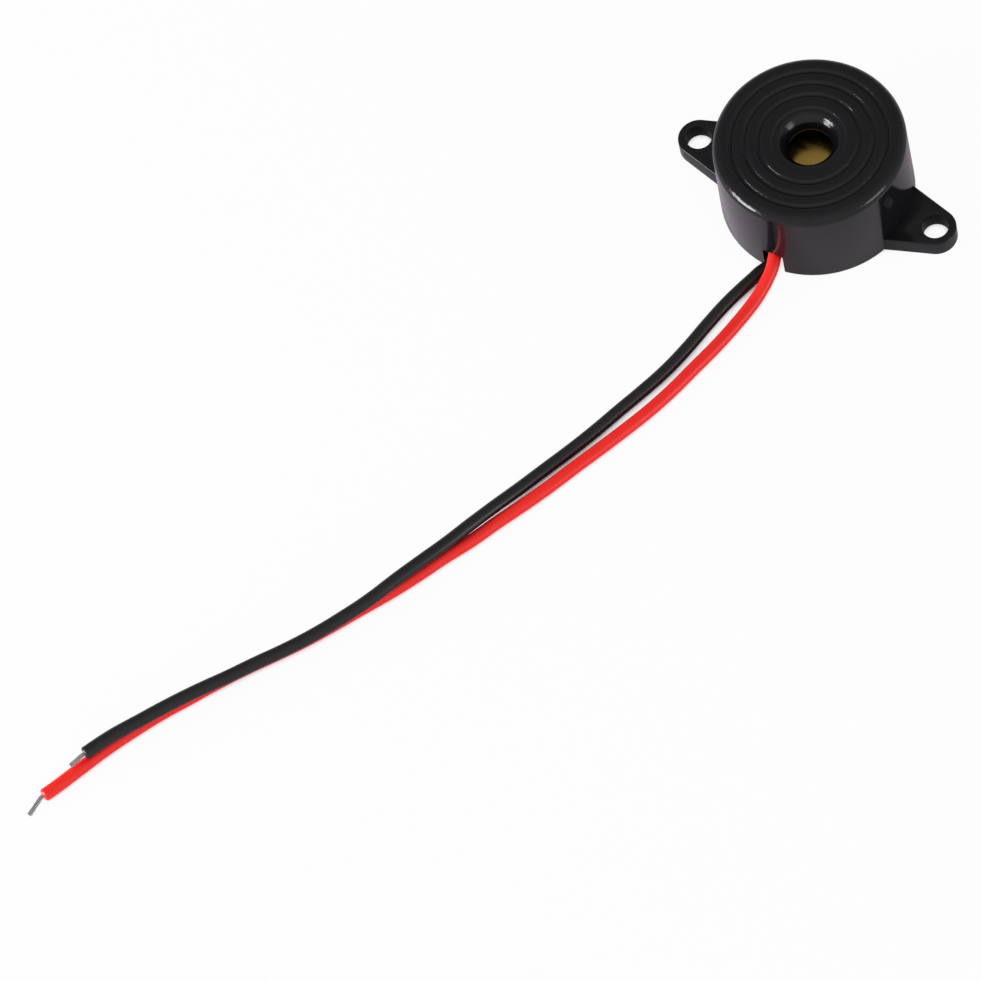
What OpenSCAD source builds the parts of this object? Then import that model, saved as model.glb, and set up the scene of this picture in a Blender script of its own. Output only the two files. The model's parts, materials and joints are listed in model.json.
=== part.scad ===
// Piezo buzzer: a round eared case with a grooved top and a sound funnel, a driven brass disc and two leads.
// The base stands on z = 0, the ears lie along X and the leads leave through a notch towards -Y.

/* [Case] */
// Outside diameter of the case at its base
body_d = 22.2; // [21.4:0.1:26]
// Height of the case
body_h = 11.5; // [10.8:0.1:14]
// Radius lost to moulding draft between base and rim
side_draft = 0.12; // [0:0.02:0.3]
// Radius of the rounded rim
rim_fillet = 1.2; // [0.4:0.1:1.4]
// Wall left around the cover recess at the base
base_wall = 0.9; // [0.7:0.05:1.1]
// Width of the cover's and of the board's shoulder inside the case
shoulder_w = 0.55; // [0.4:0.05:0.7]
// Width of the ledge that the sound disc bears on
disc_ledge_w = 1.1; // [0.6:0.1:1.5]
// Thickness of the roof
roof_t = 1.5; // [1:0.1:1.8]

/* [Sound opening] */
// Width of the flat land between the rounded rim and the first groove
rim_land = 0.58; // [0.3:0.02:0.9]
// Number of grooves around the funnel
groove_count = 3; // [1:1:3]
// Width of each groove at the top face
groove_w = 0.66; // [0.4:0.02:0.8]
// Width of each groove's floor
groove_floor = 0.2; // [0.1:0.02:0.3]
// Depth of each groove and of the recess
groove_depth = 0.22; // [0.1:0.02:0.3]
// Distance from one groove to the next
groove_pitch = 1.55; // [1:0.05:1.6]
// Diameter of the shallow recess around the funnel
recess_d = 8.6; // [8:0.1:9.4]
// Diameter of the funnel at its mouth
funnel_d = 7; // [6.4:0.1:7.2]
// Drop from the funnel's mouth to its throat
funnel_drop = 1.65; // [1.4:0.05:1.9]
// Diameter of the sound hole
hole_d = 4.9; // [3:0.1:5.8]
// Straight length of the sound hole below the throat
hole_land = 0.3; // [0.2:0.05:1]
// Wall of the funnel around the sound hole
throat_wall = 1; // [0.6:0.1:1.5]

/* [Mounting ears] */
// Distance between the centres of the two ear holes
hole_pitch = 30; // [28:0.5:34]
// Diameter of each ear hole
ear_hole_d = 3; // [2:0.1:3.6]
// Radius of each ear's rounded tip
ear_tip_r = 2.4; // [2.1:0.1:3]
// Thickness of each ear
ear_t = 2.1; // [1:0.05:3]
// Angle between an ear's flank and the line of the holes
ear_flank = 17; // [8:1:25]

/* [Back cover] */
// Height of the shoulder that the cover is pressed against
cover_seat_h = 1.3; // [1.1:0.05:1.5]
// Thickness of the cover
cover_t = 1; // [0.6:0.05:1.1]
// Chamfer around the cover's outer edge
cover_chamfer = 0.25; // [0.1:0.05:0.4]
// Radial clearance of the cover in its recess
cover_gap = 0.05; // [0.02:0.01:0.1]
// Room beside the notch in the cover's cut-out
cutout_side = 0.6; // [0.4:0.1:1]
// Length of the cut-out from the cover's edge
cutout_l = 3.2; // [2.8:0.1:4]

/* [Sound disc] */
// Distance from the board's shoulder up to the ledge that the disc seats against
disc_gap = 2.75; // [1.5:0.05:3]
// Thickness of the brass disc
brass_t = 0.2; // [0.1:0.05:0.3]
// Bare brass left around the piezo ceramic
ceramic_edge = 2.75; // [2.5:0.05:3.2]
// Thickness of the piezo ceramic
ceramic_t = 0.2; // [0.1:0.05:0.3]
// Thickness of the silver electrodes
electrode_t = 0.05; // [0.03:0.01:0.1]
// Bare edge of ceramic around the electrodes
electrode_margin = 0.4; // [0.2:0.05:0.6]
// Width of the feedback tongue
tongue_w = 2.6; // [2:0.1:3]
// Distance from the electrode's edge to the centre of the tongue's round end
tongue_l = 2.25; // [2:0.05:2.8]
// Bare gap between the tongue and the main electrode
tongue_gap = 0.4; // [0.2:0.05:0.6]
// Direction of the tongue
tongue_angle = 142; // [135:1:150]
// Width of the seal ring under the disc's edge
seal_w = 0.9; // [0.5:0.05:1.2]
// Share of the room between disc and board that the seal ring takes
seal_fill = 0.4; // [0.2:0.05:0.6]

/* [Circuit board] */
// Height of the shoulder that the board seats against
board_seat_h = 4.6; // [4.55:0.05:5]
// Thickness of the board
board_t = 1; // [0.8:0.1:1.1]
// Radial clearance of the disc and the board in the case
fit_gap = 0.1; // [0.05:0.01:0.2]
// Thickness of the copper tracks
track_t = 0.07; // [0.03:0.01:0.1]
// Width of the copper tracks
track_w = 0.8; // [0.5:0.05:1]
// Length of a chip resistor
chip_l = 2; // [1.6:0.1:2.2]
// Width of a chip resistor
chip_w = 1.25; // [0.8:0.05:1.4]
// Height of a chip resistor
chip_h = 0.5; // [0.3:0.05:0.7]
// Length of each metal cap on a chip resistor
cap_l = 0.35; // [0.2:0.05:0.5]
// Width of the transistor's body
transistor_w = 1.3; // [1:0.05:1.5]
// Length of the transistor's body
transistor_l = 2.9; // [2.7:0.1:3.1]
// Height of the transistor's body
transistor_h = 0.95; // [0.8:0.05:1.2]
// Gap between the transistor's body and the tracks
transistor_standoff = 0.1; // [0.05:0.01:0.2]
// Distance between the two legs on the transistor's double side
leg_pitch = 1.9; // [1.7:0.1:2]
// Width of each transistor leg
leg_w = 0.4; // [0.3:0.05:0.5]
// Thickness of each transistor leg
leg_t = 0.12; // [0.08:0.01:0.16]
// Reach of each transistor leg from the body
leg_reach = 0.55; // [0.45:0.05:0.7]
// Diameter of the choke
choke_d = 3.6; // [3:0.1:3.8]
// Diameter of the choke's middle post
choke_post_d = 1.8; // [1.2:0.1:2.2]
// Thickness of each choke flange
choke_flange_t = 0.4; // [0.3:0.05:0.5]
// Depth of the winding below the choke's rim
winding_inset = 0.2; // [0.1:0.05:0.4]
// Room between the choke and the cover
choke_room = 0.2; // [0.1:0.05:0.4]

/* [Wires and solder] */
// Diameter of each wire between board and disc
wire_d = 0.4; // [0.3:0.05:0.5]
// Radial clearance of each wire in its hole in the board
wire_gap = 0.15; // [0.05:0.05:0.2]
// Length of wire that stands out below the tracks
wire_tail = 0.25; // [0.1:0.05:0.4]
// Height of each solder dot under the board
dot_h = 0.4; // [0.3:0.05:0.5]
// Share of the room between disc and board that a solder dot on the disc takes
dot_fill = 0.3; // [0.2:0.05:0.5]
// Radius of each solder dot on a wire
dot_r = 0.65; // [0.5:0.05:0.7]
// Height of each solder joint on a lead
joint_h = 0.9; // [0.7:0.05:1]
// Radius of each solder joint on a lead
joint_r = 0.9; // [0.8:0.05:1.1]
// Share of the radius left at the tip of a solder dot or joint
solder_taper = 0.5; // [0.45:0.05:0.7]

/* [Leads] */
// Outside diameter of each lead
lead_d = 1.5; // [1.2:0.05:1.5]
// Diameter of the bundle of bare strands
strand_d = 0.5; // [0.3:0.05:0.6]
// Length of strands between each lead and its solder joint
tail_l = 1.7; // [1.5:0.1:1.8]
// Distance from the tracks down to each lead's soldered end
lead_drop = 0.83; // [0.8:0.01:0.9]
// Straight start of the bare strands at each free end
strand_start = 0.7; // [0.5:0.1:1]
// Width of the lead notch
notch_w = 2.5; // [2.5:0.1:3.2]
// Height of the lead notch
notch_h = 3.4; // [3.3:0.1:4]
// Distance of the notch from the middle of the wall
notch_x = 0.05; // [0:0.05:0.1]
// Radius of the notch's upper corners
notch_corner = 0.4; // [0.1:0.1:0.6]
// Room beside the notch that the glue fills
glue_side = 0.5; // [0.3:0.1:0.8]
// Length of the glue behind the wall
glue_l = 1.9; // [1.4:0.1:2.2]

/* [Hidden] */
$fn = 96;
// Overshoot of every cutting tool
cut = 1;
// Depth by which an ear's flanks cut the circle of its tip
ear_blend = 0.01;
// Sides of a lead's tube
lead_sides = 8;

// Case levels and radii
base_r = body_d / 2;
rim_r = base_r - side_draft;
groove_r = rim_r - rim_fillet - rim_land;
hole_r = hole_d / 2;
recess_r = recess_d / 2;
funnel_r = funnel_d / 2;
groove_flank = (groove_w - groove_floor) / 2;
mouth_h = body_h - groove_depth;
throat_h = mouth_h - funnel_drop;
nozzle_h = throat_h - hole_land;
roof_h = body_h - roof_t;
nozzle_r = hole_r + throat_wall;
nozzle_root_r = nozzle_r + (roof_h - nozzle_h) * (funnel_r - hole_r) / funnel_drop;
cover_bore_r = base_r - base_wall;
board_bore_r = cover_bore_r - shoulder_w;
board_r = board_bore_r - fit_gap;
disc_bore_r = board_bore_r - shoulder_w;
chamber_r = disc_bore_r - disc_ledge_w;

// Levels of the disc and the board, from the ledge down
disc_seat_h = board_seat_h + disc_gap;
brass_h = disc_seat_h - brass_t;
ceramic_h = brass_h - ceramic_t;
electrode_h = ceramic_h - electrode_t;
disc_r = disc_bore_r - fit_gap;
ceramic_r = disc_r - ceramic_edge;
electrode_r = ceramic_r - electrode_margin;
tongue_reach = electrode_r - tongue_l;
seal_h = seal_fill * (brass_h - board_seat_h);
disc_dot_h = dot_fill * (electrode_h - board_seat_h);
board_h = board_seat_h - board_t;
track_h = board_h - track_t;
choke_h = track_h - cover_seat_h - choke_room;
choke_post_l = choke_h - 2 * choke_flange_t;

// Places of the parts on the board
transistor_at = [-0.2, 2.6];
load_at = [3.3, 2.7];
bias_at = [3.3, 5.2];
feedback_at = [-3.8, 5.2];
choke_at = [3.6, -0.3];
chip_end = [(chip_l - cap_l) / 2, 0];
choke_end = [choke_d / 3, 0];
leg_end = [transistor_w / 2 + leg_reach / 2, 0];
leg_row = [0, leg_pitch / 2];
supply_x = 0.6 * board_r;
collector_x = 1.2;

// Places of the wires: on the main electrode, on the tongue, and on the brass outside the ceramic
tongue_wire_r = (tongue_reach + electrode_r) / 2;
ground_wire_r = (ceramic_r + disc_bore_r - seal_w) / 2;
ground_angle = 192;
drive_wire_at = [0.2, -2.2];
feedback_wire_at = tongue_wire_r * [cos(tongue_angle), sin(tongue_angle)];
ground_wire_at = ground_wire_r * [cos(ground_angle), sin(ground_angle)];
wire_places = [drive_wire_at, feedback_wire_at, ground_wire_at];
wire_tops = [electrode_h, electrode_h, brass_h];

// Run of each lead's centre line, from its soldered end under the board to its free end.
// Y counts from the wall's outer face, towards the inside.
lead_in_h = track_h - lead_drop;
red_run = [
    [1.9, 4.5, lead_in_h], [0.9, 3.3, lead_in_h - 0.02], [0.26, 2.2, 2.65], [0.05, 1.2, 2.57], [0.12, 0.4, 2.42],
    [0.33, -0.4, 2.22], [0.46, -1.3, 1.95], [0.45, -2.3, 1.65], [0.4, -3.3, 1.36], [0.27, -4.3, 1.1],
    [0.08, -5.5, 0.9], [-0.5, -8.5, 0.75],
    [-1.3, -12.0, 0.75], [-2.3, -15.5, 0.75], [-3.3, -19.0, 0.75], [-4.5, -22.4, 0.75],
    [-5.9, -25.7, 0.75], [-7.4, -29.0, 0.75], [-8.9, -32.2, 0.75], [-10.4, -35.5, 0.75],
    [-12.0, -38.7, 0.75], [-13.7, -41.9, 0.75], [-15.3, -45.1, 0.75], [-17.1, -48.2, 0.75],
    [-18.8, -51.4, 0.75], [-20.6, -54.5, 0.75], [-22.6, -57.6, 0.75], [-24.5, -60.6, 0.75],
    [-26.5, -63.6, 0.75], [-28.7, -66.5, 0.75], [-30.9, -69.3, 0.75], [-33.0, -72.2, 0.75],
    [-35.0, -75.2, 0.75], [-37.0, -78.2, 0.75], [-38.8, -81.3, 0.75], [-40.5, -84.5, 0.75],
    [-42.0, -87.8, 0.75], [-43.4, -90.9, 0.75], [-44.1, -92.3, 0.75]
];
black_run = [
    [-1.75, 4.5, lead_in_h], [-1.25, 3.5, lead_in_h - 0.43], [-0.78, 2.5, 1.55], [-0.43, 1.6, 1.08], [-0.34, 0.8, 0.87],
    [-0.42, 0.1, 0.77], [-0.64, -0.6, 0.75], [-1.08, -1.5, 0.75], [-1.38, -2.4, 0.75], [-1.83, -3.7, 0.75],
    [-2.7, -6.5, 0.75],
    [-3.5, -10.0, 0.75], [-4.2, -13.5, 0.75], [-5.1, -17.0, 0.75], [-6.3, -20.4, 0.75],
    [-7.6, -23.7, 0.75], [-8.9, -27.1, 0.75], [-10.3, -30.4, 0.75], [-11.8, -33.7, 0.8],
    [-13.2, -37.0, 1.0], [-14.6, -40.3, 1.35], [-15.9, -43.6, 1.75], [-17.2, -47.0, 2.1],
    [-18.7, -50.3, 2.3], [-20.2, -53.5, 2.35], [-21.7, -56.8, 2.3], [-23.4, -59.9, 2.25],
    [-25.3, -63.0, 2.2], [-27.4, -66.0, 2.2], [-29.6, -68.8, 2.2], [-31.8, -71.7, 2.2],
    [-34.0, -74.5, 2.25], [-36.1, -77.4, 2.3], [-38.1, -80.4, 2.35], [-40.1, -83.4, 2.35],
    [-41.8, -86.5, 2.3]
];
red_route = [for (point = red_run) point - [0, base_r, 0]];
black_route = [for (point = black_run) point - [0, base_r, 0]];

// Last bend of the bare strands at each free end
red_strand_bend = [-0.1, -2.0, -0.3];
black_strand_bend = [-0.5, -1.2, -0.3];

function unit(v) = v / norm(v);
function heading(route, i) = unit(route[min(i + 1, len(route) - 1)] - route[max(i - 1, 0)]);
function end_of(route) = route[len(route) - 1];
function end_heading(route) = heading(route, len(route) - 1);

// The tail of strands runs straight back from a lead's soldered end
function tail_tip(route) = route[0] - tail_l * heading(route, 0);
function pad_of(route) = [tail_tip(route).x, tail_tip(route).y];
function strand_route(route, bend) =
    let (turn = end_of(route) + strand_start * end_heading(route))
    [end_of(route), turn, turn + bend];

// One ring of points square to the route
function ring(route, i, r) =
    let (ahead = heading(route, i), side = unit(cross(ahead, [0, 0, 1])), over = cross(side, ahead))
    [for (k = [0 : lead_sides - 1]) let (a = 360 * k / lead_sides)
        route[i] + r * (cos(a) * side + sin(a) * over)];

// Tube of diameter d swept along a route, with a flat face at each end
module tube(route, d) {
    last = len(route) - 1;
    near_cap = [[for (k = [lead_sides - 1 : -1 : 0]) k]];
    far_cap = [[for (k = [0 : lead_sides - 1]) last * lead_sides + k]];
    skin = [for (i = [0 : last - 1], k = [0 : lead_sides - 1])
        let (a = i * lead_sides + k, b = i * lead_sides + (k + 1) % lead_sides)
        each [[a, b, a + lead_sides], [b, b + lead_sides, a + lead_sides]]];
    polyhedron([for (i = [0 : last]) each ring(route, i, d / 2)], concat(near_cap, skin, far_cap));
}

// Straight round rod from one point along a direction
module rod(from, along, d, l) {
    translate(from)
        rotate([0, acos(along.z), atan2(along.y, along.x)])
            cylinder(d = d, h = l);
}

// Points across the top face: down into each groove, over its floor and up again
groove_points = [for (i = [0 : groove_count - 1], step = [[0, 0], [groove_flank, groove_depth],
                      [groove_w - groove_flank, groove_depth], [groove_w, 0]])
    [groove_r - i * groove_pitch - step.x, body_h - step.y]];

// Half section of the case, from the base round the rim and funnel and back down the stepped bore
module case_section() {
    polygon(concat(
        [[cover_bore_r, 0], [base_r, 0], [rim_r, body_h - rim_fillet], [rim_r - rim_fillet, body_h]],
        groove_points,
        [[recess_r, body_h], [recess_r - groove_flank, mouth_h], [funnel_r, mouth_h], [hole_r, throat_h],
         [hole_r, nozzle_h], [nozzle_r, nozzle_h],
         [nozzle_root_r, roof_h], [chamber_r, roof_h], [chamber_r, disc_seat_h],
         [disc_bore_r, disc_seat_h], [disc_bore_r, board_seat_h], [board_bore_r, board_seat_h],
         [board_bore_r, cover_seat_h], [cover_bore_r, cover_seat_h]]
    ));
    translate([rim_r - rim_fillet, body_h - rim_fillet])
        intersection() {
            circle(rim_fillet);
            square(rim_fillet);
        }
}

// Outline of one ear: straight flanks that run into a round tip, a hair inside its tangents
module ear_outline() {
    tip_x = hole_pitch / 2;
    flank_r = ear_tip_r - ear_blend;
    end = flank_r * [sin(ear_flank), cos(ear_flank)];
    root_y = (flank_r + tip_x * sin(ear_flank)) / cos(ear_flank);
    translate([tip_x, 0])
        circle(ear_tip_r);
    polygon([[0, -root_y], [tip_x + end.x, -end.y], [tip_x + end.x, end.y], [0, root_y]]);
}

// Both ears, ending inside the case wall
module ears() {
    difference() {
        linear_extrude(ear_t)
            for (turn = [0, 180])
                rotate(turn)
                    ear_outline();
        translate([0, 0, -cut])
            cylinder(r = base_r - base_wall / 2, h = ear_t + 2 * cut);
    }
}

// Outline of the lead notch, open below the base, with rounded upper corners
module notch_outline() {
    half = notch_w / 2;
    for (side = [-1, 1])
        translate([side * (half - notch_corner), notch_h - notch_corner])
            circle(notch_corner);
    polygon([[-half, -cut], [half, -cut], [half, notch_h - notch_corner], [half - notch_corner, notch_h],
             [notch_corner - half, notch_h], [-half, notch_h - notch_corner]]);
}

module case() {
    color("#18181b")
        difference() {
            union() {
                rotate_extrude()
                    case_section();
                ears();
            }
            for (side = [-1, 1])
                translate([side * hole_pitch / 2, 0, -cut])
                    cylinder(d = ear_hole_d, h = ear_t + 2 * cut);
            translate([notch_x, -disc_bore_r, 0])
                rotate([90, 0, 0])
                    linear_extrude(base_r - disc_bore_r + cut)
                        notch_outline();
        }
}

module back_cover() {
    r = cover_bore_r - cover_gap;
    low = cover_seat_h - cover_t;
    cutout_w = notch_w + 2 * cutout_side;
    color("#1f1f23")
        difference() {
            rotate_extrude()
                polygon([[0, low], [r - cover_chamfer, low], [r, low + cover_chamfer],
                         [r, cover_seat_h], [0, cover_seat_h]]);
            translate([notch_x - cutout_w / 2, -r - cut, low - cut])
                cube([cutout_w, cutout_l + cut, cover_t + 2 * cut]);
        }
}

module sound_disc() {
    color("#b8923a")
        translate([0, 0, brass_h])
            cylinder(r = disc_r, h = brass_t);
}

module piezo_ceramic() {
    color("#d9d2c0")
        translate([0, 0, ceramic_h])
            cylinder(r = ceramic_r, h = ceramic_t);
}

// Tongue of the feedback electrode, with an even margin around it
module tongue_outline(margin) {
    half = tongue_w / 2 + margin;
    rotate(tongue_angle) {
        translate([tongue_reach, 0])
            circle(half);
        translate([tongue_reach, -half])
            square([ceramic_r, 2 * half]);
    }
}

module main_electrode() {
    color("#c9c9c4")
        translate([0, 0, electrode_h])
            linear_extrude(electrode_t)
                difference() {
                    circle(electrode_r);
                    tongue_outline(tongue_gap);
                }
}

module feedback_electrode() {
    color("#c9c9c4")
        translate([0, 0, electrode_h])
            linear_extrude(electrode_t)
                intersection() {
                    circle(electrode_r);
                    tongue_outline(0);
                }
}

module disc_seal() {
    color("#e8e8e2")
        rotate_extrude()
            polygon([[disc_bore_r - seal_w, brass_h], [disc_bore_r, brass_h - seal_h], [disc_bore_r, brass_h]]);
}

// Holes that the wires pass through
module wire_holes() {
    for (place = wire_places)
        translate(place)
            circle(d = wire_d + 2 * wire_gap);
}

module circuit_board() {
    color("#b58a52")
        translate([0, 0, board_h])
            linear_extrude(board_t)
                difference() {
                    circle(board_r);
                    wire_holes();
                }
}

// Copper strip with round ends
module strip(from, to) {
    run = to - from;
    translate(from) {
        circle(d = track_w);
        rotate(atan2(run.y, run.x))
            translate([0, -track_w / 2])
                square([norm(run), track_w]);
    }
    translate(to)
        circle(d = track_w);
}

module track_run(points) {
    for (i = [1 : len(points) - 1])
        strip(points[i - 1], points[i]);
}

// Tracks of the supply, collector, base, feedback and ground nets
module board_tracks() {
    red_pad = pad_of(red_route);
    black_pad = pad_of(black_route);
    collector = transistor_at + leg_end;
    base = transistor_at - leg_end + leg_row;
    emitter = transistor_at - leg_end - leg_row;
    fed = feedback_at - chip_end;
    color("#b87333")
        translate([0, 0, track_h])
            linear_extrude(track_t)
                difference() {
                    union() {
                        track_run([red_pad, [supply_x, red_pad.y], [supply_x, bias_at.y], bias_at + chip_end]);
                        track_run([[supply_x, load_at.y], load_at + chip_end]);
                        track_run([[supply_x, choke_at.y], choke_at + choke_end]);
                        track_run([collector, [collector_x, collector.y],
                                   [collector_x, drive_wire_at.y], drive_wire_at]);
                        track_run([[collector_x, load_at.y], load_at - chip_end]);
                        track_run([[collector_x, choke_at.y], choke_at - choke_end]);
                        track_run([base, [base.x, bias_at.y], bias_at - chip_end]);
                        track_run([[base.x, feedback_at.y], feedback_at + chip_end]);
                        track_run([fed, [fed.x, feedback_wire_at.y], feedback_wire_at]);
                        track_run([emitter, [black_pad.x, emitter.y], black_pad]);
                        track_run([[black_pad.x, ground_wire_at.y], ground_wire_at]);
                        for (pad = [red_pad, black_pad])
                            translate(pad)
                                circle(joint_r);
                        for (place = wire_places)
                            translate(place)
                                circle(dot_r);
                    }
                    wire_holes();
                }
}

module transistor_body() {
    color("#26262a")
        translate([transistor_at.x - transistor_w / 2, transistor_at.y - transistor_l / 2,
                   track_h - transistor_standoff - transistor_h])
            cube([transistor_w, transistor_l, transistor_h]);
}

// One gull-wing leg from the body's side out to its foot on the track, along +X
module transistor_leg() {
    knee_x = leg_reach * 0.4;
    mid_h = -transistor_standoff - transistor_h / 2;
    translate([transistor_w / 2, leg_w / 2, track_h])
        rotate([90, 0, 0])
            linear_extrude(leg_w)
                polygon([[0, mid_h], [knee_x - leg_t, mid_h], [knee_x - leg_t, 0], [leg_reach, 0],
                         [leg_reach, -leg_t], [knee_x, -leg_t], [knee_x, mid_h - leg_t], [0, mid_h - leg_t]]);
}

module transistor_legs() {
    color("#c4c6c9")
        translate(transistor_at) {
            transistor_leg();
            for (side = [-1, 1])
                translate(side * leg_row)
                    mirror([1, 0, 0])
                        transistor_leg();
        }
}

// Ceramic middle of a chip resistor
module chip_body(place) {
    color("#2b2b2e")
        translate([place.x - chip_l / 2 + cap_l, place.y - chip_w / 2, track_h - chip_h])
            cube([chip_l - 2 * cap_l, chip_w, chip_h]);
}

module load_resistor() {
    chip_body(load_at);
}

module bias_resistor() {
    chip_body(bias_at);
}

module feedback_resistor() {
    chip_body(feedback_at);
}

module resistor_caps() {
    color("#c4c6c9")
        for (place = [load_at, bias_at, feedback_at], x = [-chip_l / 2, chip_l / 2 - cap_l])
            translate([place.x + x, place.y - chip_w / 2, track_h - chip_h])
                cube([cap_l, chip_w, chip_h]);
}

// Drum of the choke, hanging from the tracks
module choke_core() {
    r = choke_d / 2;
    post_r = choke_post_d / 2;
    low = choke_flange_t;
    high = choke_flange_t + choke_post_l;
    color("#4a4a4d")
        translate([choke_at.x, choke_at.y, track_h - choke_h])
            rotate_extrude()
                polygon([[0, 0], [r, 0], [r, low], [post_r, low], [post_r, high], [r, high],
                         [r, choke_h], [0, choke_h]]);
}

module choke_winding() {
    post_r = choke_post_d / 2;
    color("#a5572a")
        translate([choke_at.x, choke_at.y, track_h - choke_h + choke_flange_t])
            rotate_extrude()
                translate([post_r, 0])
                    square([choke_d / 2 - winding_inset - post_r, choke_post_l]);
}

// Wire that stands between its solder joint under the board and the disc
module disc_wire(i) {
    low = track_h - wire_tail;
    color("#c98b4b")
        translate([wire_places[i].x, wire_places[i].y, low])
            cylinder(d = wire_d, h = wire_tops[i] - low);
}

module drive_wire() {
    disc_wire(0);
}

module feedback_wire() {
    disc_wire(1);
}

module ground_wire() {
    disc_wire(2);
}

// Cone of solder hanging from level h
module solder(place, h, r, depth) {
    translate([place.x, place.y, h - depth])
        cylinder(r1 = r * solder_taper, r2 = r, h = depth);
}

module disc_solder() {
    color("#aeb1b5")
        for (i = [0 : len(wire_places) - 1])
            difference() {
                solder(wire_places[i], wire_tops[i], dot_r, disc_dot_h);
                disc_wire(i);
            }
}

// Tail of strands between a lead and its pad
module strand_tail(route) {
    rod(route[0], -heading(route, 0), strand_d, tail_l);
}

module board_solder() {
    color("#aeb1b5") {
        for (i = [0 : len(wire_places) - 1])
            difference() {
                solder(wire_places[i], track_h, dot_r, dot_h);
                disc_wire(i);
            }
        for (route = [red_route, black_route])
            difference() {
                solder(pad_of(route), track_h, joint_r, joint_h);
                strand_tail(route);
            }
    }
}

// Bead on the cover, against the wall behind the notch and round both leads
module lead_glue() {
    glue_w = notch_w + 2 * glue_side;
    color("#ded9c8")
        difference() {
            intersection() {
                translate([0, 0, cover_seat_h])
                    cylinder(r = board_bore_r, h = notch_h - cover_seat_h);
                translate([notch_x - glue_w / 2, -board_bore_r, cover_seat_h])
                    cube([glue_w, glue_l, notch_h - cover_seat_h]);
            }
            tube(red_route, lead_d);
            tube(black_route, lead_d);
        }
}

module red_lead() {
    color("#e8191c")
        tube(red_route, lead_d);
}

module red_strands() {
    color("#b9bcc0") {
        tube(strand_route(red_route, red_strand_bend), strand_d);
        strand_tail(red_route);
    }
}

module black_lead() {
    color("#151517")
        tube(black_route, lead_d);
}

module black_strands() {
    color("#b9bcc0") {
        tube(strand_route(black_route, black_strand_bend), strand_d);
        strand_tail(black_route);
    }
}

case();
back_cover();
sound_disc();
piezo_ceramic();
main_electrode();
feedback_electrode();
disc_seal();
circuit_board();
board_tracks();
transistor_body();
transistor_legs();
load_resistor();
bias_resistor();
feedback_resistor();
resistor_caps();
choke_core();
choke_winding();
drive_wire();
feedback_wire();
ground_wire();
disc_solder();
board_solder();
lead_glue();
red_lead();
red_strands();
black_lead();
black_strands();
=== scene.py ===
# %% [markdown]
# # A piezo buzzer with mounting ears and two leads
#
# The buzzer is a small black moulding that sounds through a funnel in its top.
# A thin brass disc sits under the funnel, and two leads bring the current in through a notch.
# The CAD model gives every piece its place, in metres, with the base on the floor.
# This lesson rebuilds what the eye meets first and gives every other part a surface of its own.

import json
from math import pi, radians

import bmesh
import bpy
from mathutils import Matrix, Vector


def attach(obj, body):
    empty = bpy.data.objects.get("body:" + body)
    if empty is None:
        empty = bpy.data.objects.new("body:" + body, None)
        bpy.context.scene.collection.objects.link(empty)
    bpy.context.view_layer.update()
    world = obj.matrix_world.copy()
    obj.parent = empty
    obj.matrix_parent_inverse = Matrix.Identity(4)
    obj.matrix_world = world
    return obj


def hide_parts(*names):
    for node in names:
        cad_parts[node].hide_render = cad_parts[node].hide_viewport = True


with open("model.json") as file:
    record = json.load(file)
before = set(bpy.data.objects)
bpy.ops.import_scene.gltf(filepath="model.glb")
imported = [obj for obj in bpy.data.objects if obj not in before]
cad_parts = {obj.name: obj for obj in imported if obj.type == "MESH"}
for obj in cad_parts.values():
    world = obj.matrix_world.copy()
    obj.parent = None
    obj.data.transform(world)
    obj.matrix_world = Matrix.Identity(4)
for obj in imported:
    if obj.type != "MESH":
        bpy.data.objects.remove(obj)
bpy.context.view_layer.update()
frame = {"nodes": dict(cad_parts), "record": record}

# %% [markdown]
# ## Camera
#
# A long lens from a high place on the front right keeps the circles of the case nearly free of perspective.
# The camera is rolled, so that the leads run down to the lower left corner of the picture.
# The three turns are written one after the other: round the vertical, down towards the floor, and the roll.

# %% Camera
SENSOR_WIDTH, LENS = 36, 258.1  # millimetres
AZIMUTH, ELEVATION, ROLL = 41.265, 60.459, -15.57  # degrees
TARGET, DISTANCE = (-0.016511, -0.049326, 0), 0.785742  # metres


def placed(name, data):
    """A new object at the origin of the scene that shows this data."""
    piece = bpy.data.objects.new(name, data)
    bpy.context.scene.collection.objects.link(piece)
    return piece


camera = placed("camera", bpy.data.cameras.new("camera"))
bpy.context.scene.camera = camera
camera.data.sensor_width = SENSOR_WIDTH
camera.data.lens = LENS
turn = (
    Matrix.Rotation(radians(AZIMUTH), 4, "Z")
    @ Matrix.Rotation(radians(90 - ELEVATION), 4, "X")
    @ Matrix.Rotation(radians(ROLL), 4, "Z")
)
camera.matrix_world = Matrix.Translation(TARGET) @ turn @ Matrix.Translation((0, 0, DISTANCE))
print("camera stands at", [round(v, 4) for v in camera.matrix_world.translation])

# %% [markdown]
# ## The two leads
#
# Each lead is a length of hook-up wire: stranded copper in a sleeve of PVC, 1.5 mm across.
# A Bezier curve with a round bevel is the natural way to draw a wire, because its line can be bent at any point.
# The points follow the real lie of each lead: soldered under the board, out through the notch and along the floor,
# where the black lead comes to rest on the red one.

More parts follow.
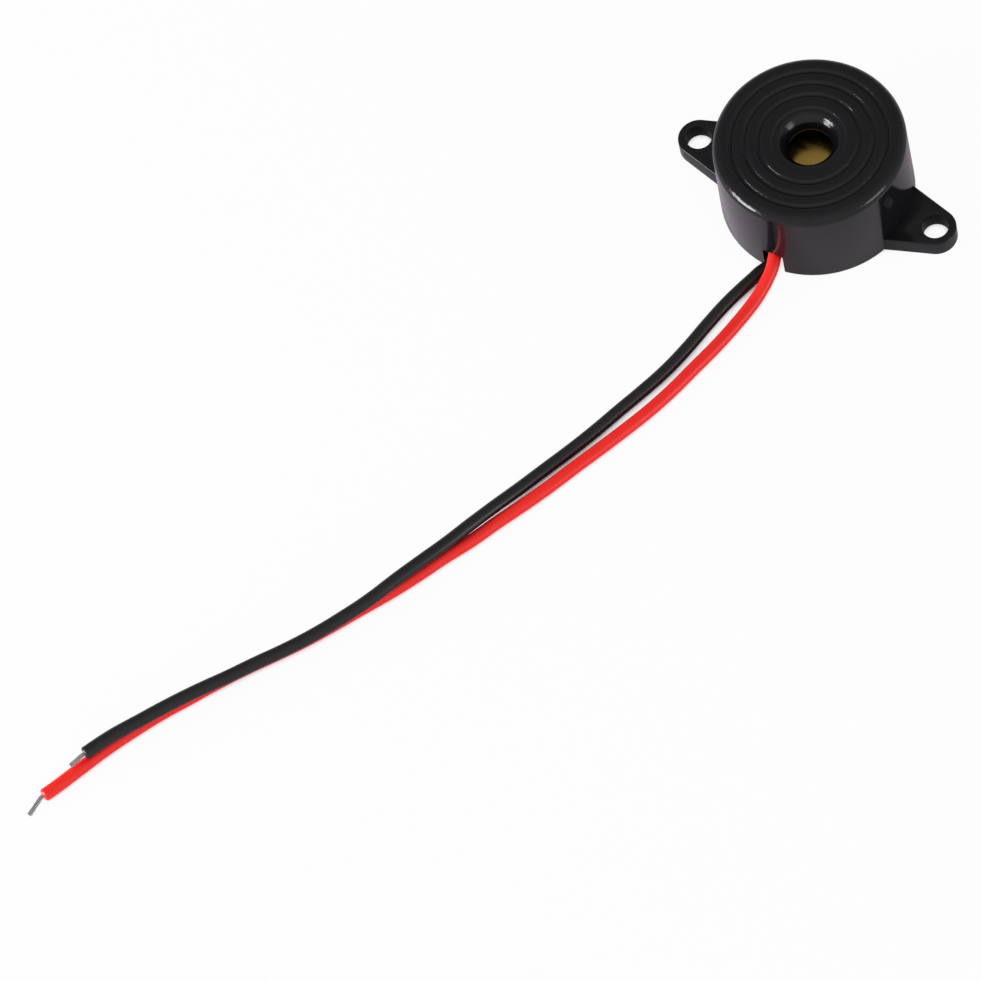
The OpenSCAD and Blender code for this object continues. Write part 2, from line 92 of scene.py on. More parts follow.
# %% Routes of the leads, from the board to the free end
MM = 0.001
LEAD_D = 1.5 * MM
RED_RUN = [
    (0.0019, -0.0066, 0.0027), (0.0009, -0.0078, 0.00268), (0.00026, -0.0089, 0.00265),
    (0.00005, -0.0099, 0.00257), (0.00012, -0.0107, 0.00242), (0.00033, -0.0115, 0.00222),
    (0.00046, -0.0124, 0.00195), (0.00045, -0.0134, 0.00165), (0.0004, -0.0144, 0.00136),
    (0.00027, -0.0154, 0.0011), (0.00008, -0.0166, 0.0009), (-0.0005, -0.0196, 0.00075),
    (-0.0013, -0.0231, 0.00075), (-0.0023, -0.0266, 0.00075), (-0.0033, -0.0301, 0.00075),
    (-0.0045, -0.0335, 0.00075), (-0.0059, -0.0368, 0.00075), (-0.0074, -0.0401, 0.00075),
    (-0.0089, -0.0433, 0.00075), (-0.0104, -0.0466, 0.00075), (-0.012, -0.0498, 0.00075),
    (-0.0137, -0.053, 0.00075), (-0.0153, -0.0562, 0.00075), (-0.0171, -0.0593, 0.00075),
    (-0.0188, -0.0625, 0.00075), (-0.0206, -0.0656, 0.00075), (-0.0226, -0.0687, 0.00075),
    (-0.0245, -0.0717, 0.00075), (-0.0265, -0.0747, 0.00075), (-0.0287, -0.0776, 0.00075),
    (-0.0309, -0.0804, 0.00075), (-0.033, -0.0833, 0.00075), (-0.035, -0.0863, 0.00075),
    (-0.037, -0.0893, 0.00075), (-0.0388, -0.0924, 0.00075), (-0.0405, -0.0956, 0.00075),
    (-0.042, -0.0989, 0.00075), (-0.0434, -0.102, 0.00075), (-0.0441, -0.1034, 0.00075),
]
BLACK_RUN = [
    (-0.00175, -0.0066, 0.0027), (-0.00125, -0.0076, 0.00227), (-0.00078, -0.0086, 0.00155),
    (-0.00043, -0.0095, 0.00108), (-0.00034, -0.0103, 0.00087), (-0.00042, -0.011, 0.00077),
    (-0.00064, -0.0117, 0.00075), (-0.00108, -0.0126, 0.00075), (-0.00138, -0.0135, 0.00075),
    (-0.00183, -0.0148, 0.00075), (-0.0027, -0.0176, 0.00075), (-0.0035, -0.0211, 0.00075),
    (-0.0042, -0.0246, 0.00075), (-0.0051, -0.0281, 0.00075), (-0.0063, -0.0315, 0.00075),
    (-0.0076, -0.0348, 0.00075), (-0.0089, -0.0382, 0.00075), (-0.0103, -0.0415, 0.00075),
    (-0.0118, -0.0448, 0.0008), (-0.0132, -0.0481, 0.001), (-0.0146, -0.0514, 0.00135),
    (-0.0159, -0.0547, 0.00175), (-0.0172, -0.0581, 0.0021), (-0.0187, -0.0614, 0.0023),
    (-0.0202, -0.0646, 0.00235), (-0.0217, -0.0679, 0.0023), (-0.0234, -0.071, 0.00225),
    (-0.0253, -0.0741, 0.0022), (-0.0274, -0.0771, 0.0022), (-0.0296, -0.0799, 0.0022),
    (-0.0318, -0.0828, 0.0022), (-0.034, -0.0856, 0.00225), (-0.0361, -0.0885, 0.0023),
    (-0.0381, -0.0915, 0.00235), (-0.0401, -0.0945, 0.00235), (-0.0418, -0.0976, 0.0023),
]
print("points on the red and the black route:", len(RED_RUN), len(BLACK_RUN))

# %% [markdown]
# ## Sleeves
#
# The extruder lays the PVC round the copper as an even tube, so one circle along the route gives the sleeve.
# Automatic handles let the curve swing through its points without a kink.
# Each point carries the radius of the lead, so that Blender also knows how much room the curve takes up.

# %% Draw the sleeves along their routes
END_ROUNDING = 0.15 * MM


def lead(name, run):
    """One sleeve of insulation as a round Bezier curve through the points of its run.

    An extra point just before the cut end keeps the full radius, so that only the edge of the cut is drawn in.
    """
    end, heading = Vector(run[-1]), (Vector(run[-1]) - Vector(run[-2])).normalized()
    places = [*run[:-1], end - END_ROUNDING * heading, end]
    curve = bpy.data.curves.new(name, "CURVE")
    curve.dimensions = "3D"
    curve.bevel_depth = 1  # a unit circle, which the radius of each point scales
    curve.bevel_resolution = 7
    curve.resolution_u = 6
    curve.use_fill_caps = True
    spline = curve.splines.new("BEZIER")
    spline.bezier_points.add(len(places) - 1)
    for point, place in zip(spline.bezier_points, places):
        point.co = place
        point.radius = LEAD_D / 2
        point.handle_left_type = point.handle_right_type = "AUTO"
    spline.bezier_points[-1].radius = LEAD_D / 2 - END_ROUNDING
    print(name, "runs through", len(places), "points,", round(spline.calc_length() * 1000, 1), "mm long")
    return placed(name, curve)


red_sleeve = lead("red_sleeve", RED_RUN)
black_sleeve = lead("black_sleeve", BLACK_RUN)

# %% [markdown]
# ## The bare strands
#
# At its free end each lead is stripped, and seven fine tinned wires stick out with a slight twist.
# A second, short tail of the same wires goes up to the board.
# Seven small rings start side by side. They are extruded together from step to step,
# and each step moves and turns them, as fingers twist a stripped end.

# %% Twist seven wires along a path
STRAND_R = 0.083 * MM
STRAND_SIDES = 10
AROUND = 6  # wires round the middle one
TWIST = 0.22  # radians at each step


def only(kind, elements):
    """The elements of one kind, such as vertices, from a mixed list."""
    return [element for element in elements if isinstance(element, kind)]


def twisted_strands(bm, path, splay):
    """Seven wires along a path: rings that are extruded, moved on and turned a little at every step."""
    ring_edges = []
    for k in range(AROUND + 1):
        out = 2 * STRAND_R if k < AROUND else 0
        place = Matrix.Rotation(2 * pi * k / AROUND, 4, "Z") @ Matrix.Translation((out, 0, 0))
        ring = bmesh.ops.create_circle(bm, segments=STRAND_SIDES, radius=STRAND_R, matrix=place)["verts"]
        ring_edges += list({e for v in ring for e in v.link_edges})
    ring = list({v for e in ring_edges for v in e.verts})
    before = Matrix.Identity(4)
    for i, point in enumerate(path):
        ahead = path[min(i + 1, len(path) - 1)] - path[max(i - 1, 0)]
        facing = ahead.to_track_quat("Z", "Y").to_matrix().to_4x4()
        spread = Matrix.Diagonal([1 + splay * i] * 2 + [1, 1])
        now = Matrix.Translation(point) @ facing @ Matrix.Rotation(TWIST * i, 4, "Z") @ spread
        if i:
            new = bmesh.ops.extrude_edge_only(bm, edges=ring_edges)["geom"]
            ring = only(bmesh.types.BMVert, new)
            ring_edges = [e for e in only(bmesh.types.BMEdge, new) if all(v in ring for v in e.verts)]
        bmesh.ops.transform(bm, matrix=now @ before.inverted(), verts=ring)
        before = now
    bmesh.ops.holes_fill(bm, edges=[e for e in bm.edges if e.is_boundary], sides=STRAND_SIDES)


print("three wires side by side are", round(6 * STRAND_R * 1000, 2), "mm across")

# %% [markdown]
# ## Both ends of each lead
#
# The free bundle leaves its sleeve straight and then droops to one side, as a stripped end does after some handling.
# Its path is a short straight start and a bent stretch, and averaging neighbouring points softens the elbow.
# The tail at the other end is straight, because solder holds it.

# %% Strand bundles
STRAIGHT = 0.35 * MM
SPLAY = 0.015  # growth of the free bundle at each step
TAIL_STEP = 0.425 * MM
BEND_STEPS, TAIL_STEPS = 6, 4


def mesh_from(bm, name):
    """The finished bmesh as a mesh. The bmesh is freed."""
    mesh = bpy.data.meshes.new(name)
    bm.to_mesh(mesh)
    bm.free()
    return mesh


def strands(name, run, bend):
    """The bundle at the free end, which bends after a short straight start, and the tail at the soldered end."""
    bm = bmesh.new()
    end, heading = Vector(run[-1]), (Vector(run[-1]) - Vector(run[-2])).normalized()
    elbow = end + STRAIGHT * heading
    path = [end, end.lerp(elbow, 0.5), elbow]
    path += [elbow + Vector(bend) * k / BEND_STEPS for k in range(1, BEND_STEPS + 1)]
    path = [path[0]] + [(a + 2 * b + c) / 4 for a, b, c in zip(path, path[1:], path[2:])] + [path[-1]]
    twisted_strands(bm, path, SPLAY)
    start, heading = Vector(run[0]), (Vector(run[0]) - Vector(run[1])).normalized()
    twisted_strands(bm, [start + heading * TAIL_STEP * k for k in range(TAIL_STEPS + 1)], 0)
    bmesh.ops.recalc_face_normals(bm, faces=bm.faces)
    mesh = mesh_from(bm, name)
    mesh.shade_smooth()
    mesh.set_sharp_from_angle(angle=radians(50))
    print(name, "has", len(mesh.polygons), "faces")
    return placed(name, mesh)


red_ends = strands("red_ends", RED_RUN, (-0.00025, -0.0023, -0.0003))
black_ends = strands("black_ends", BLACK_RUN, (-0.00066, -0.0015, -0.0003))
for piece, node in [
    (red_sleeve, "red_lead"), (black_sleeve, "black_lead"),
    (red_ends, "red_strands"), (black_ends, "black_strands"),
]:
    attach(piece, "root")
    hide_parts(node)

# %% [markdown]
# ## The section of the case
#
# The case is one injection moulding. Its round part is a lathe job: half of its section, spun a full turn.
# Every corner of the section carries its own rounding, because a mould has no knife edges,
# and those small roundings are what catch the light on the rim, the grooves and the funnel.
# The section runs from the base up the wall, over the grooved top, down the funnel and back through the bores.

# %% Draw the section: radius, height and rounding of each corner, in mm
TOP, BASE_R, RIM_R = 11.5, 11.1, 10.966
GROOVE_W, GROOVE_FLANK, GROOVE_DEPTH = 0.66, 0.23, 0.22
GROOVE_FLOOR = TOP - GROOVE_DEPTH
EDGE, FOOT = 0.1, 0.09  # roundings at the upper edges of a groove and at the feet of its flanks
RECESS_R, MOUTH_R, HOLE_R, HOLE_TOP, HOLE_BOTTOM = 4.3, 3.53, 2.45, 9.63, 9.33
BEND_R, BEND_Z = 2.75, 10.35  # where the funnel's flank turns steeper
THROAT_R, THROAT_ROOT_R = 3.45, 3.876
ROOM_R, DISC_R, BOARD_R, COVER_R = 8.0, 9.1, 9.65, 10.2
ROOF, DISC_LEDGE, BOARD_LEDGE, COVER_SEAT = 10.0, 7.35, 4.6, 1.3
section = [(COVER_R, 0, 0.12), (BASE_R, 0, 0.15), (RIM_R, TOP, 1.2)]
for groove in (9.2, 7.65, 6.1):
    section += [
        (groove, TOP, EDGE),
        (groove - GROOVE_FLANK, GROOVE_FLOOR, FOOT),
        (groove - GROOVE_W + GROOVE_FLANK, GROOVE_FLOOR, FOOT),
        (groove - GROOVE_W, TOP, EDGE),
    ]
section += [
    # Recess, and a funnel that grows steeper towards the sound hole
    (RECESS_R, TOP, EDGE), (RECESS_R - GROOVE_FLANK, GROOVE_FLOOR, FOOT), (MOUTH_R, GROOVE_FLOOR, 0.32),
    (BEND_R, BEND_Z, 0.2), (HOLE_R, HOLE_TOP, 0.12), (HOLE_R, HOLE_BOTTOM, 0.06),
    # Wall of the funnel from below, and the roof of the room over the disc
    (THROAT_R, HOLE_BOTTOM, 0.1), (THROAT_ROOT_R, ROOF, 0.2), (ROOM_R, ROOF, 0.3),
    # Ledges of the disc, the board and the cover
    (ROOM_R, DISC_LEDGE, 0.08), (DISC_R, DISC_LEDGE, 0.04), (DISC_R, BOARD_LEDGE, 0.08),
    (BOARD_R, BOARD_LEDGE, 0.04), (BOARD_R, COVER_SEAT, 0.08), (COVER_R, COVER_SEAT, 0.04),
]
print("section:", len(section), "corners")

# %% [markdown]
# ## Spinning the section
#
# The corners make one flat face, so that a bevel can round each of them, and then only the outline is kept.
# A full spin with merged ends closes the ring. The large roundings take more steps than the small ones.

# %% Round the corners and spin the round part of the case
LARGE_ROUNDING = 0.3  # mm, above which a rounding takes more steps
LARGE_STEPS, SMALL_STEPS = 14, 4
ROUND_STEPS = 160
WELD = 1e-7


def round_off(bm, elements, rounding, steps, affect):
    """Rounds corners or edges with an even, circular bevel."""
    bmesh.ops.bevel(
        bm, geom=elements, offset=rounding, offset_type="OFFSET", segments=steps,
        profile=0.5, affect=affect, material=-1,
    )


def spin_round(bm, elements, x, steps):
    """Spins an outline a full turn round an upright axis at x."""
    bmesh.ops.spin(
        bm, geom=elements, cent=(x, 0, 0), axis=(0, 0, 1), dvec=(0, 0, 0),
        angle=2 * pi, steps=steps, use_merge=True,
    )


case_bm = bmesh.new()
corners = [case_bm.verts.new((r * MM, 0, z * MM)) for r, z, _ in section]
case_bm.faces.new(corners)
for corner, (*_, rounding) in zip(corners, section):
    steps = LARGE_STEPS if rounding > LARGE_ROUNDING else SMALL_STEPS
    round_off(case_bm, [corner], rounding * MM, steps, "VERTICES")
bmesh.ops.delete(case_bm, geom=case_bm.faces[:], context="FACES_ONLY")
spin_round(case_bm, case_bm.verts[:] + case_bm.edges[:], 0, ROUND_STEPS)
bmesh.ops.remove_doubles(case_bm, verts=case_bm.verts, dist=WELD)
bmesh.ops.recalc_face_normals(case_bm, faces=case_bm.faces)
print("round part:", len(case_bm.faces), "faces")

# %% [markdown]
# ## The ears
#
# Two flat ears reach out from the wall at floor level, each with a hole for a small screw.
# An ear is the shape a rubber band would take round a disc and the root at the wall, so a convex hull makes it.
# Its upper edge is rounded like the rest of the moulding. The second ear is the first one turned by half a turn.

# %% Hull and round the ears
EAR_X, EAR_R, EAR_T = 15 * MM, 2.4 * MM, 2.1 * MM
EAR_ROOT_X, EAR_ROOT_Y = 10.35 * MM, 3.921 * MM
EAR_ROUNDING = 0.16 * MM
EAR_STEPS = 64
ears_bm = bmesh.new()
bmesh.ops.create_cone(
    ears_bm, cap_ends=True, segments=EAR_STEPS, radius1=EAR_R, radius2=EAR_R, depth=EAR_T,
    matrix=Matrix.Translation((EAR_X, 0, EAR_T / 2)),
)
for y in (-EAR_ROOT_Y, EAR_ROOT_Y):
    for z in (0, EAR_T):
        ears_bm.verts.new((EAR_ROOT_X, y, z))
hull = bmesh.ops.convex_hull(ears_bm, input=ears_bm.verts[:])
inner = set(only(bmesh.types.BMVert, hull["geom_interior"] + hull["geom_unused"]))
bmesh.ops.delete(ears_bm, geom=list(inner), context="VERTS")
bmesh.ops.dissolve_limit(ears_bm, angle_limit=radians(1), verts=ears_bm.verts[:], edges=ears_bm.edges[:])
# Edges round the top face: both ends are high up, and the faces fold by more than one radian
upper = [e for e in ears_bm.edges if all(v.co.z > 0.9 * EAR_T for v in e.verts) and e.calc_face_angle() > 1]
round_off(ears_bm, upper, EAR_ROUNDING, SMALL_STEPS, "EDGES")
second = bmesh.ops.duplicate(ears_bm, geom=ears_bm.verts[:] + ears_bm.edges[:] + ears_bm.faces[:])["geom"]
half_turn = Matrix.Rotation(pi, 3, "Z")
bmesh.ops.rotate(ears_bm, cent=(0, 0, 0), matrix=half_turn, verts=only(bmesh.types.BMVert, second))
bmesh.ops.recalc_face_normals(ears_bm, faces=ears_bm.faces)
print("ears:", len(ears_bm.faces), "faces")

# %% [markdown]
# ## Holes and notch
#
# The mould leaves the screw holes and the lead notch open with pins, so here they are cut with shapes like those pins.
# A pin is a spun outline that flares at both faces of the ear, which leaves a rounded edge round the hole.
# The notch is a box with its upper corners eased.

# %% Shape the pins
# Outline of a pin, as radius and height in mm. It stands out of the ear at both ends
PIN = [
    (0, -0.3), (1.58, -0.3), (1.58, 0), (1.52, 0.02), (1.5, 0.08),
    (1.5, 2.02), (1.52, 2.08), (1.58, 2.1), (1.58, 2.4), (0, 2.4),
]
NOTCH_CENTRE = (0.05 * MM, -10.6 * MM, 1.2 * MM)
NOTCH_SIZE = (2.5 * MM, 3 * MM, 4.4 * MM)
NOTCH_ROUNDING = 0.4 * MM
pins_bm = bmesh.new()
for side in (-1, 1):
    rail = [pins_bm.verts.new((side * EAR_X + r * MM, 0, z * MM)) for r, z in PIN]
    rods = [pins_bm.edges.new(pair) for pair in zip(rail, rail[1:])]
    spin_round(pins_bm, rail + rods, side * EAR_X, EAR_STEPS)
bmesh.ops.remove_doubles(pins_bm, verts=pins_bm.verts, dist=WELD)
notch = bmesh.ops.create_cube(
    pins_bm, size=1, matrix=Matrix.Translation(NOTCH_CENTRE) @ Matrix.Diagonal((*NOTCH_SIZE, 1)),
)["verts"]
eased = [
    e for e in {e for v in notch for e in v.link_edges}
    if all(v.co.z > NOTCH_CENTRE[2] for v in e.verts) and abs(e.verts[0].co.y - e.verts[1].co.y) > MM
]
round_off(pins_bm, eased, NOTCH_ROUNDING, SMALL_STEPS, "EDGES")
bmesh.ops.recalc_face_normals(pins_bm, faces=pins_bm.faces)
print("pins:", len(pins_bm.faces), "faces,", len(eased), "edges of the notch eased")

# %% [markdown]
# ## One moulding
#
# Round part and ears come out of the mould in one piece, so a Boolean joins them, and a second one takes the pins away.
# Smooth shading with sharp edges above an angle keeps the roundings soft and the ledges crisp.

# %% Join the case and cut its openings
shapes = {
    name: placed(name, mesh_from(bm, name))
    for name, bm in (("case_shell", case_bm), ("ears", ears_bm), ("pins", pins_bm))
}
case = shapes["case_shell"]
for tool, operation in (("ears", "UNION"), ("pins", "DIFFERENCE")):
    cut = case.modifiers.new(tool, "BOOLEAN")
    cut.object, cut.operation, cut.solver = shapes[tool], operation, "EXACT"
joined = bpy.data.meshes.new_from_object(case.evaluated_get(bpy.context.evaluated_depsgraph_get()))
case.modifiers.clear()
case.data = joined
for tool in ("ears", "pins"):
    bpy.data.objects.remove(shapes[tool])
joined.shade_smooth()
joined.set_sharp_from_angle(angle=radians(32))
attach(case, "root")
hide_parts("case")
print("case:", len(joined.polygons), "faces, box in mm", [round(v * 1000, 2) for v in case.dimensions])

# %% [markdown]
# ## Surfaces
#
# Every surface is a node network that works in the object's own millimetres, so it holds from any distance.
# Colours are written as sRGB codes, as a colour picker shows them, and one function turns them into linear light.
# A second small function adds a node: settings first, then its inputs, each a plain value or a link.

# %% Helpers for colours and nodes
def linear(code):
    """A colour code such as "#b08d57" as the linear colour that the renderer works with."""
    parts = [int(code[i : i + 2], 16) / 255 for i in (1, 3, 5)]
    return [c / 12.92 if c <= 0.04045 else ((c + 0.055) / 1.055) ** 2.4 for c in parts] + [1]


def add(tree, kind, settings, inputs):
    """Adds one node. An input that is a socket is linked, and any other input is set as a value."""
    node = tree.nodes.new(kind)
    for name, value in settings.items():
        setattr(node, name, value)
    for name, value in inputs.items():
        if isinstance(value, bpy.types.NodeSocket):
            tree.links.new(value, node.inputs[name])
        else:
            node.inputs[name].default_value = value
    return node


print("half grey, #808080, in linear light:", round(linear("#808080")[0], 3))

# %% [markdown]
# ## One recipe for all surfaces
#
# A real surface is never of one even colour and gloss, so a noise mixes two close colours, varies the roughness
# and raises a slight bump. The case also shows the turning marks of its mould: rings round its axis, which come from
# a noise over radius and height, broken up by the first noise and limited to the top.

# %% The recipe of a surface
FADE = 0.4  # mm of height over which the turning marks set in


def surface(name, dark, light, grain, rough, bump, stretch=(1, 1, 1), turned=None, **shader):
    """A material from two close colours and a noise: grain in mm, rough as a range, bump in mm.

    A turned surface also carries fine rings round its Z axis above a height: their pitch and that height, in mm.
    """
    material = bpy.data.materials.new(name)
    material.use_nodes = True
    tree = material.node_tree
    tree.nodes.clear()
    place = add(tree, "ShaderNodeTexCoord", {}, {}).outputs["Object"]
    scaled = add(tree, "ShaderNodeMapping", {}, {"Vector": place, "Scale": stretch}).outputs["Vector"]
    noise = add(
        tree, "ShaderNodeTexNoise", {}, {"Vector": scaled, "Scale": 1000 / grain, "Detail": 4.0},
    ).outputs["Fac"]
    # The colour sockets of a Mix node share their names with others, so they are given by number
    colour = add(
        tree, "ShaderNodeMix", {"data_type": "RGBA"}, {0: noise, 6: linear(dark), 7: linear(light)},
    ).outputs[2]
    gloss = add(
        tree, "ShaderNodeMapRange", {},
        {"Value": noise, "From Min": 0.3, "From Max": 0.7, "To Min": rough[0], "To Max": rough[1]},
    ).outputs["Result"]
    height = noise
    if turned:
        pitch, low = turned
        flat = add(tree, "ShaderNodeVectorMath", {"operation": "MULTIPLY"}, {0: place, 1: (1, 1, 0)}).outputs["Vector"]
        radius = add(tree, "ShaderNodeVectorMath", {"operation": "LENGTH"}, {0: flat}).outputs["Value"]
        up = add(tree, "ShaderNodeSeparateXYZ", {}, {0: place}).outputs["Z"]
        ring = add(tree, "ShaderNodeCombineXYZ", {}, {"X": radius, "Y": up}).outputs["Vector"]
        marks = add(
            tree, "ShaderNodeTexNoise", {}, {"Vector": ring, "Scale": 1000 / pitch, "Detail": 1.0},
        ).outputs["Fac"]
        top = add(
            tree, "ShaderNodeMapRange", {},
            {"Value": up, "From Min": low * MM, "From Max": (low + FADE) * MM, "To Min": 0.0, "To Max": 1.0},
        ).outputs["Result"]
        broken = add(tree, "ShaderNodeMath", {"operation": "MULTIPLY"}, {0: noise, 1: marks}).outputs[0]
        height = add(tree, "ShaderNodeMath", {"operation": "MULTIPLY"}, {0: broken, 1: top}).outputs[0]
    normal = add(
        tree, "ShaderNodeBump", {}, {"Height": height, "Strength": 1.0, "Distance": bump * MM},
    ).outputs["Normal"]
    body = add(
        tree, "ShaderNodeBsdfPrincipled", {},
        {"Base Color": colour, "Roughness": gloss, "Normal": normal, **shader},
    )
    add(tree, "ShaderNodeOutputMaterial", {}, {"Surface": body.outputs["BSDF"]})
    return material


# %% [markdown]
# ## What the eye meets
#
# The case is polished ABS, the sleeves are PVC and the strands tinned copper, and rolled brass shows in the sound hole.
# Metals keep the default index of refraction, and plastics take theirs from tables.

# %% Surfaces seen from outside
PVC = {"IOR": 1.53, "Specular IOR Level": 0.36}
finishes = {
    # Deep black with a crisp shine. The top carries the turning marks of its mould, which break the shine into
    # short dashes. They are drawn coarser than real ones, at 0.2 mm, so that a picture of this size still shows them
    "case_plastic": surface(
        "abs_black_moulded", "#0f0f12", "#141317", 0.45, (0.1, 0.17), 0.05, turned=(0.2, 10.3),
        IOR=1.53, **{"Specular IOR Level": 0.28},
    ),
    # Bright red skin, slightly oily, with shallow waves from the extruder
    "red_insulation": surface("pvc_red_extruded", "#f91e16", "#fd281e", 0.9, (0.3, 0.42), 0.006, **PVC),
    # Soft black skin with the same shallow waves
    "black_insulation": surface("pvc_black_extruded", "#131011", "#1a1617", 0.9, (0.3, 0.42), 0.006, **PVC),
    # Grey white metal, a little cloudy from the dip
    "tinned_metal": surface("tinned_copper_dipped", "#a3a2a1", "#b9b8b7", 0.25, (0.35, 0.5), 0.003, Metallic=1.0),
    # Yellow metal with fine lines from the rolling mill
    "disc_brass": surface("brass_rolled", "#a5843f", "#c9a85c", 0.6, (0.2, 0.3), 0.002, (0.3, 1, 1), Metallic=1.0),
}
print("surfaces seen from outside:", len(finishes))

# %% [markdown]
# ## What the case hides
#
# Inside there are fired ceramic with silver films, a brown board with copper tracks, small parts, solder and glue.
# Most of them show only when the case is opened, but each gets its own material, as the real parts have.

# %% Surfaces inside the case
finishes |= {
    # The plastic of the case straight from a plain mould: a dull satin black
    "cover_plastic": surface("abs_black_satin", "#131315", "#1a1a1d", 0.3, (0.42, 0.55), 0.004, IOR=1.53),
    # Cream ceramic, dry and dense
    "piezo_ceramic": surface("pzt_ceramic_fired", "#d2c8b4", "#e0d8c6", 0.12, (0.55, 0.7), 0.003, IOR=2.2),
    # Pale metal film with a frosty grain
    "electrode_silver": surface("silver_film_fired", "#c8c7c2", "#dad9d4", 0.08, (0.42, 0.55), 0.002, Metallic=1.0),
    # Milky rubber
    "seal_silicone": surface("silicone_white_cured", "#e2e1dc", "#ecebe6", 0.6, (0.45, 0.6), 0.006, IOR=1.41),
    # Brown paper board with a cut-fibre mottle
    "board_laminate": surface(
        "phenolic_paper_board", "#a9783f", "#bd8b4c", 0.2, (0.5, 0.65), 0.004, (1, 0.4, 1), IOR=1.55,
    ),
    # Bare copper foil, slightly tarnished
    "track_copper": surface("copper_foil_bare", "#b5663a", "#c98052", 0.4, (0.3, 0.45), 0.002, Metallic=1.0),
    # Grey-black epoxy with a fine spark texture
    "component_plastic": surface("epoxy_black_moulded", "#232325", "#2c2c2f", 0.06, (0.5, 0.65), 0.003, IOR=1.55),
    # Near-black glaze
    "chip_ceramic": surface("chip_glaze_black", "#26262a", "#303035", 0.15, (0.25, 0.35), 0.001, IOR=1.55),
    # Dark grey sintered grain
    "choke_ferrite": surface("ferrite_sintered", "#46464a", "#56565a", 0.08, (0.5, 0.7), 0.004, IOR=2.3),
    # Red brown enamel over copper
    "wire_copper": surface("copper_wire_enamelled", "#9c4a22", "#b2592c", 0.3, (0.2, 0.3), 0.001, Metallic=1.0),
    # Bright grey metal with a frozen ripple
    "solder": surface("tin_solder_reflowed", "#b0b3b6", "#c6c9cc", 0.35, (0.18, 0.32), 0.004, Metallic=1.0),
    # Cream-white wax
    "glue": surface("hot_melt_glue", "#d9cfae", "#e6dcc0", 0.9, (0.3, 0.45), 0.01, IOR=1.48),
}
print("surfaces in all:", len(finishes))

# %% [markdown]
# ## Dressing the pieces
#
# The record of the CAD model says which material every node has, so the nodes are dressed from that list.
# The rebuilt pieces follow, each with the material of the node that it stands for.

# %% Hand out the surfaces
slots = {part["node"]: part["material_slot"] for part in frame["record"]["subparts"]}
dressed = [(piece, slots[name]) for name, piece in frame["nodes"].items()]
dressed += [
    (case, "case_plastic"), (red_sleeve, "red_insulation"), (black_sleeve, "black_insulation"),
    (red_ends, "tinned_metal"), (black_ends, "tinned_metal"),
]
for piece, slot in dressed:
    piece.data.materials.clear()
    piece.data.materials.append(finishes[slot])
print("surfaces:", len(finishes), "on", len(dressed), "objects")

# %% [markdown]
# ## Floor
#
# The buzzer lies on a white sweep of paper that is lit until it loses all texture.
# The floor mixes a little real shading, which keeps the soft shadow, into a plain white glow.
# Only the camera sees the glow, so it adds no light of its own to the scene,
# and an ambient occlusion node turns it down where a part nearly touches the paper.

# %% Floor
FLOOR_R = 9  # metres, so that no edge shows
CONTACT = 1.6 * MM  # reach of the shade round what touches the paper
floor_bm = bmesh.new()
bmesh.ops.create_circle(floor_bm, cap_ends=True, segments=64, radius=FLOOR_R)
floor = placed("floor", mesh_from(floor_bm, "floor"))
paper = bpy.data.materials.new("paper_white_lit")
paper.use_nodes = True
tree = paper.node_tree
tree.nodes.clear()
seen = add(tree, "ShaderNodeLightPath", {}, {}).outputs["Is Camera Ray"]
open_sky = add(tree, "ShaderNodeAmbientOcclusion", {"samples": 8}, {"Distance": CONTACT}).outputs["AO"]
lit = add(
    tree, "ShaderNodeMapRange", {},
    {"Value": open_sky, "From Min": 0.15, "From Max": 0.5, "To Min": 0.0, "To Max": 0.95},
).outputs["Result"]
share = add(tree, "ShaderNodeMath", {"operation": "MULTIPLY"}, {0: seen, 1: lit}).outputs[0]
shade = add(tree, "ShaderNodeBsdfDiffuse", {}, {"Color": linear("#f4ebf5")}).outputs[0]
glow = add(tree, "ShaderNodeEmission", {}, {"Color": linear("#ffffff"), "Strength": 1.0}).outputs[0]
blend = add(tree, "ShaderNodeMixShader", {}, {0: share, 1: shade, 2: glow}).outputs[0]
add(tree, "ShaderNodeOutputMaterial", {}, {"Surface": blend})
floor.data.materials.append(paper)
print("floor reaches", FLOOR_R, "m")

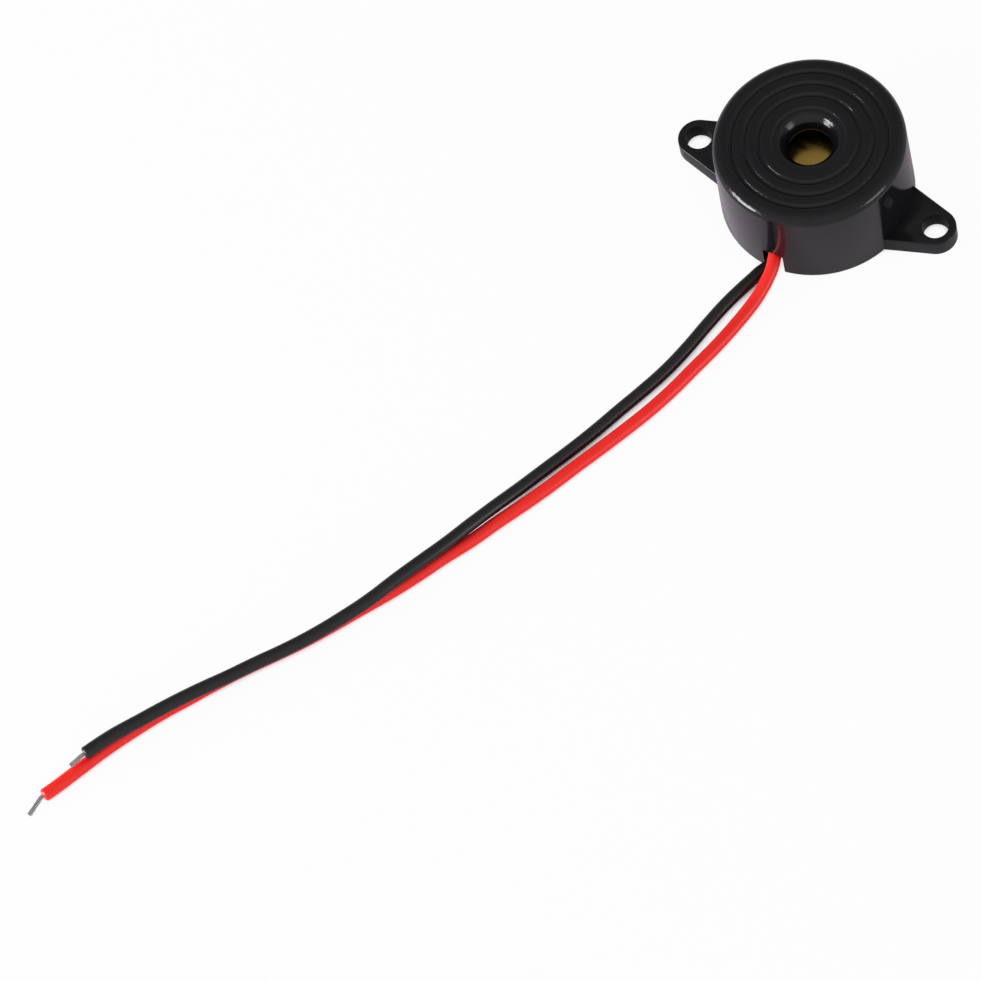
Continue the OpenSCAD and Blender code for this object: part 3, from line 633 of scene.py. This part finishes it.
# %% [markdown]
# ## Lamps
#
# Black plastic shows its shape by what it mirrors, more than by its colour.
# Two soft boxes stand low at the left and the right, so the roundings of the rim, the grooves and the funnel
# catch them, and the flat top, which looks past them, stays black.

# %% Soft boxes
def soft_box(name, azimuth, elevation, distance, size, watts):
    """A rectangular lamp that faces the buzzer."""
    lamp = bpy.data.lights.new(name, "AREA")
    lamp.shape = "RECTANGLE"
    lamp.size, lamp.size_y = size
    lamp.energy = watts
    box = placed(name, lamp)
    aim = Matrix.Rotation(radians(azimuth), 4, "Z") @ Matrix.Rotation(radians(90 - elevation), 4, "Y")
    box.matrix_world = aim @ Matrix.Translation((0, 0, distance)) @ Matrix.Rotation(pi / 2, 4, "Z")
    print(name, "stands at", [round(v, 2) for v in box.matrix_world.translation])


soft_box("left_soft_box", azimuth=-132, elevation=11, distance=0.6, size=(0.28, 0.22), watts=4.4)
soft_box("right_soft_box", azimuth=-2, elevation=11, distance=0.6, size=(0.24, 0.22), watts=0.75)

# %% [markdown]
# ## Surroundings
#
# A studio has pale walls that fill the shadows from all sides.
# Here the surroundings grow brighter towards the front right, on the side that the camera looks from.
# The Standard view shows colours about as they are written.

# %% Surroundings
FRONT_RIGHT = (0.66, -0.75, 0)
world = bpy.data.worlds.new("studio")
bpy.context.scene.world = world
world.use_nodes = True
tree = world.node_tree
tree.nodes.clear()
towards = add(tree, "ShaderNodeTexCoord", {}, {}).outputs["Generated"]
facing = add(
    tree, "ShaderNodeVectorMath", {"operation": "DOT_PRODUCT"}, {0: towards, 1: FRONT_RIGHT},
).outputs["Value"]
level = add(
    tree, "ShaderNodeMapRange", {},
    {"Value": facing, "From Min": -0.6, "From Max": 1.0, "To Min": 0.35, "To Max": 0.85},
).outputs["Result"]
sky = add(tree, "ShaderNodeBackground", {}, {"Color": linear("#ffffff"), "Strength": level})
add(tree, "ShaderNodeOutputWorld", {}, {"Surface": sky.outputs[0]})
bpy.context.scene.view_settings.view_transform = "Standard"
print("view:", bpy.context.scene.view_settings.view_transform)
